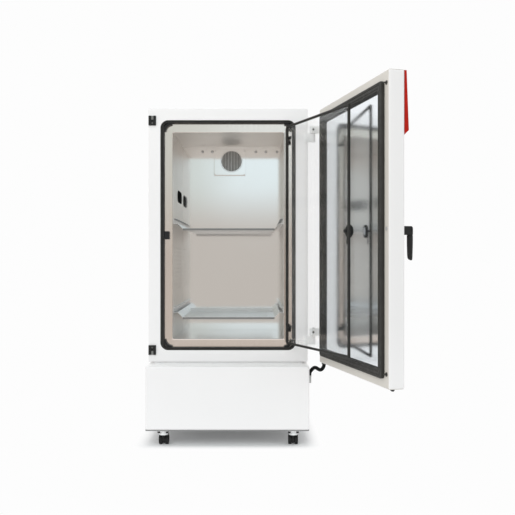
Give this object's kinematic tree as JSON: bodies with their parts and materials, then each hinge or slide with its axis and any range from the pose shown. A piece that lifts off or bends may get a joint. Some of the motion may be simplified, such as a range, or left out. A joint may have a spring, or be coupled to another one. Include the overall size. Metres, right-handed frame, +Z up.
{
  "type": "laboratory incubator",
  "caption": "Floor-standing insulated cabinet with an inner glass door, a thick gasketed outer door, pull-out shelves and a castor base.",
  "frame": {"origin": "bottom centre of the bounding box with both doors standing open, on the floor", "axes": "+Z up; the cabinet front faces -Y; +X is the hinge side of both doors"},
  "size_m": [1.358, 1.609, 1.936],
  "materials": {
    "white_paint": "satin",
    "insulating_foam": "matte",
    "black_frame_rubber": "matte",
    "slate_gasket_rubber": "matte",
    "stainless": "satin",
    "bright_stainless": "polished",
    "cream_border": "satin",
    "black_plastic": "satin",
    "zinc_steel": "satin",
    "white_bracket": "satin",
    "clear_glass": "gloss",
    "red_plastic": "gloss",
    "display_black": "gloss",
    "black_steel": "satin",
    "fin_aluminium": "satin",
    "castor_steel": "satin",
    "castor_rubber": "matte",
    "castor_bolt_black": "satin",
    "cable_rubber": "matte"
  },
  "bodies": {
    "cabinet": {"back_baffle": "bright_stainless", "base_cable_gland": "black_plastic", "base_casing": "white_paint", "base_chassis": "zinc_steel", "base_front_panel": "white_paint", "cabinet_front_frame": "white_paint", "cabinet_insulation": "insulating_foam", "cabinet_shell": "white_paint", "castor_bolts": "castor_bolt_black", "castor_plates": "castor_steel", "chamber_flange": "stainless", "chamber_gasket": "black_frame_rubber", "chamber_liner": "stainless", "compressor": "black_steel", "condenser": "fin_aluminium", "door_cable": "cable_rubber", "evaporator": "fin_aluminium", "fan_guard": "stainless", "fan_motor": "black_steel", "glass_door_catch": "black_plastic", "glass_hinge_brackets": "black_plastic", "joining_frame": "zinc_steel", "latch_catch_screws": "zinc_steel", "latch_catches": "black_plastic", "outer_hinge_brackets": "white_bracket", "power_inlet": "black_plastic", "rear_panel": "white_paint", "shelf_runners": "stainless", "wall_cover": "black_plastic", "wall_fixings": "stainless"},
    "outer_door": {"outer_door_skin": "white_paint", "outer_door_insulation": "insulating_foam", "outer_door_inner_frame": "cream_border", "outer_door_inner_panel": "bright_stainless", "outer_door_gasket": "slate_gasket_rubber", "latch_pins": "zinc_steel", "door_lock": "zinc_steel", "door_glide": "black_plastic", "handle_base": "black_plastic", "control_housing": "red_plastic", "control_display": "display_black", "door_cable_gland": "black_plastic", "outer_hinge_arms": "white_bracket"},
    "handle": {"handle_lever": "black_plastic"},
    "glass_door": {"glass_pane": "clear_glass", "glass_edge_seal": "black_plastic", "glass_hinge_leaves": "black_plastic"},
    "glass_knob": {"glass_knob": "black_plastic"},
    "shelf_upper": {"shelf_upper": "stainless"},
    "shelf_lower": {"shelf_lower": "stainless"},
    "chamber_fan": {"fan_impeller": "black_plastic"},
    "castor_fl": {"castor_fork_fl": "castor_steel"},
    "wheels_fl": {"castor_wheels_fl": "castor_rubber"},
    "castor_fr": {"castor_fork_fr": "castor_steel"},
    "wheels_fr": {"castor_wheels_fr": "castor_rubber"},
    "castor_rl": {"castor_fork_rl": "castor_steel"},
    "wheels_rl": {"castor_wheels_rl": "castor_rubber"},
    "castor_rr": {"castor_fork_rr": "castor_steel"},
    "wheels_rr": {"castor_wheels_rr": "castor_rubber"}
  },
  "joints": [
    {"name": "outer_door_swing", "type": "hinge", "parent": "cabinet", "child": "outer_door", "pos_m": [0.28297, 0.11652, 1.2], "axis": [0, 0, 1], "range_deg": [-104.8, 0], "deforming": ["door_cable"]},
    {"name": "glass_door_swing", "type": "hinge", "parent": "cabinet", "child": "glass_door", "pos_m": [0.13397, 0.11652, 1.2], "axis": [0, 0, 1], "range_deg": [-115.1, 0]},
    {"name": "handle_pull", "type": "hinge", "parent": "outer_door", "child": "handle", "pos_m": [0.66483, -0.72589, 1.193], "axis": [0.2554, -0.9668, 0], "range_deg": [0, 35]},
    {"name": "knob_turn", "type": "hinge", "parent": "glass_door", "child": "glass_knob", "pos_m": [0.40441, -0.46906, 1.201], "axis": [-0.9056, -0.4242, 0], "range_deg": [0, 90]},
    {"name": "shelf_lower_slide", "type": "slide", "parent": "cabinet", "child": "shelf_lower", "axis": [0, -1, 0], "range_m": [0, 0.35]},
    {"name": "shelf_upper_slide", "type": "slide", "parent": "cabinet", "child": "shelf_upper", "axis": [0, -1, 0], "range_m": [0, 0.35]},
    {"name": "fan_spin", "type": "hinge", "parent": "cabinet", "child": "chamber_fan", "pos_m": [-0.21403, 0.69152, 1.708], "axis": [0, 1, 0], "continuous": true},
    {"name": "castor_fl_swivel", "type": "hinge", "parent": "cabinet", "child": "castor_fl", "pos_m": [-0.58003, 0.04652, 0.085], "axis": [0, 0, 1], "continuous": true},
    {"name": "wheels_fl_spin", "type": "hinge", "parent": "castor_fl", "child": "wheels_fl", "pos_m": [-0.58003, 0.06652, 0.028], "axis": [1, 0, 0], "continuous": true},
    {"name": "castor_fr_swivel", "type": "hinge", "parent": "cabinet", "child": "castor_fr", "pos_m": [0.16097, 0.04652, 0.085], "axis": [0, 0, 1], "continuous": true},
    {"name": "wheels_fr_spin", "type": "hinge", "parent": "castor_fr", "child": "wheels_fr", "pos_m": [0.16097, 0.06652, 0.028], "axis": [1, 0, 0], "continuous": true},
    {"name": "castor_rl_swivel", "type": "hinge", "parent": "cabinet", "child": "castor_rl", "pos_m": [-0.58003, 0.70852, 0.085], "axis": [0, 0, 1], "continuous": true},
    {"name": "wheels_rl_spin", "type": "hinge", "parent": "castor_rl", "child": "wheels_rl", "pos_m": [-0.58003, 0.72852, 0.028], "axis": [1, 0, 0], "continuous": true},
    {"name": "castor_rr_swivel", "type": "hinge", "parent": "cabinet", "child": "castor_rr", "pos_m": [0.16097, 0.70852, 0.085], "axis": [0, 0, 1], "continuous": true},
    {"name": "wheels_rr_spin", "type": "hinge", "parent": "castor_rr", "child": "wheels_rr", "pos_m": [0.16097, 0.72852, 0.028], "axis": [1, 0, 0], "continuous": true}
  ],
  "couplings": [
    {"joint": "glass_door_swing", "follows": "outer_door_swing", "ratio": 1.0982}
  ]
}
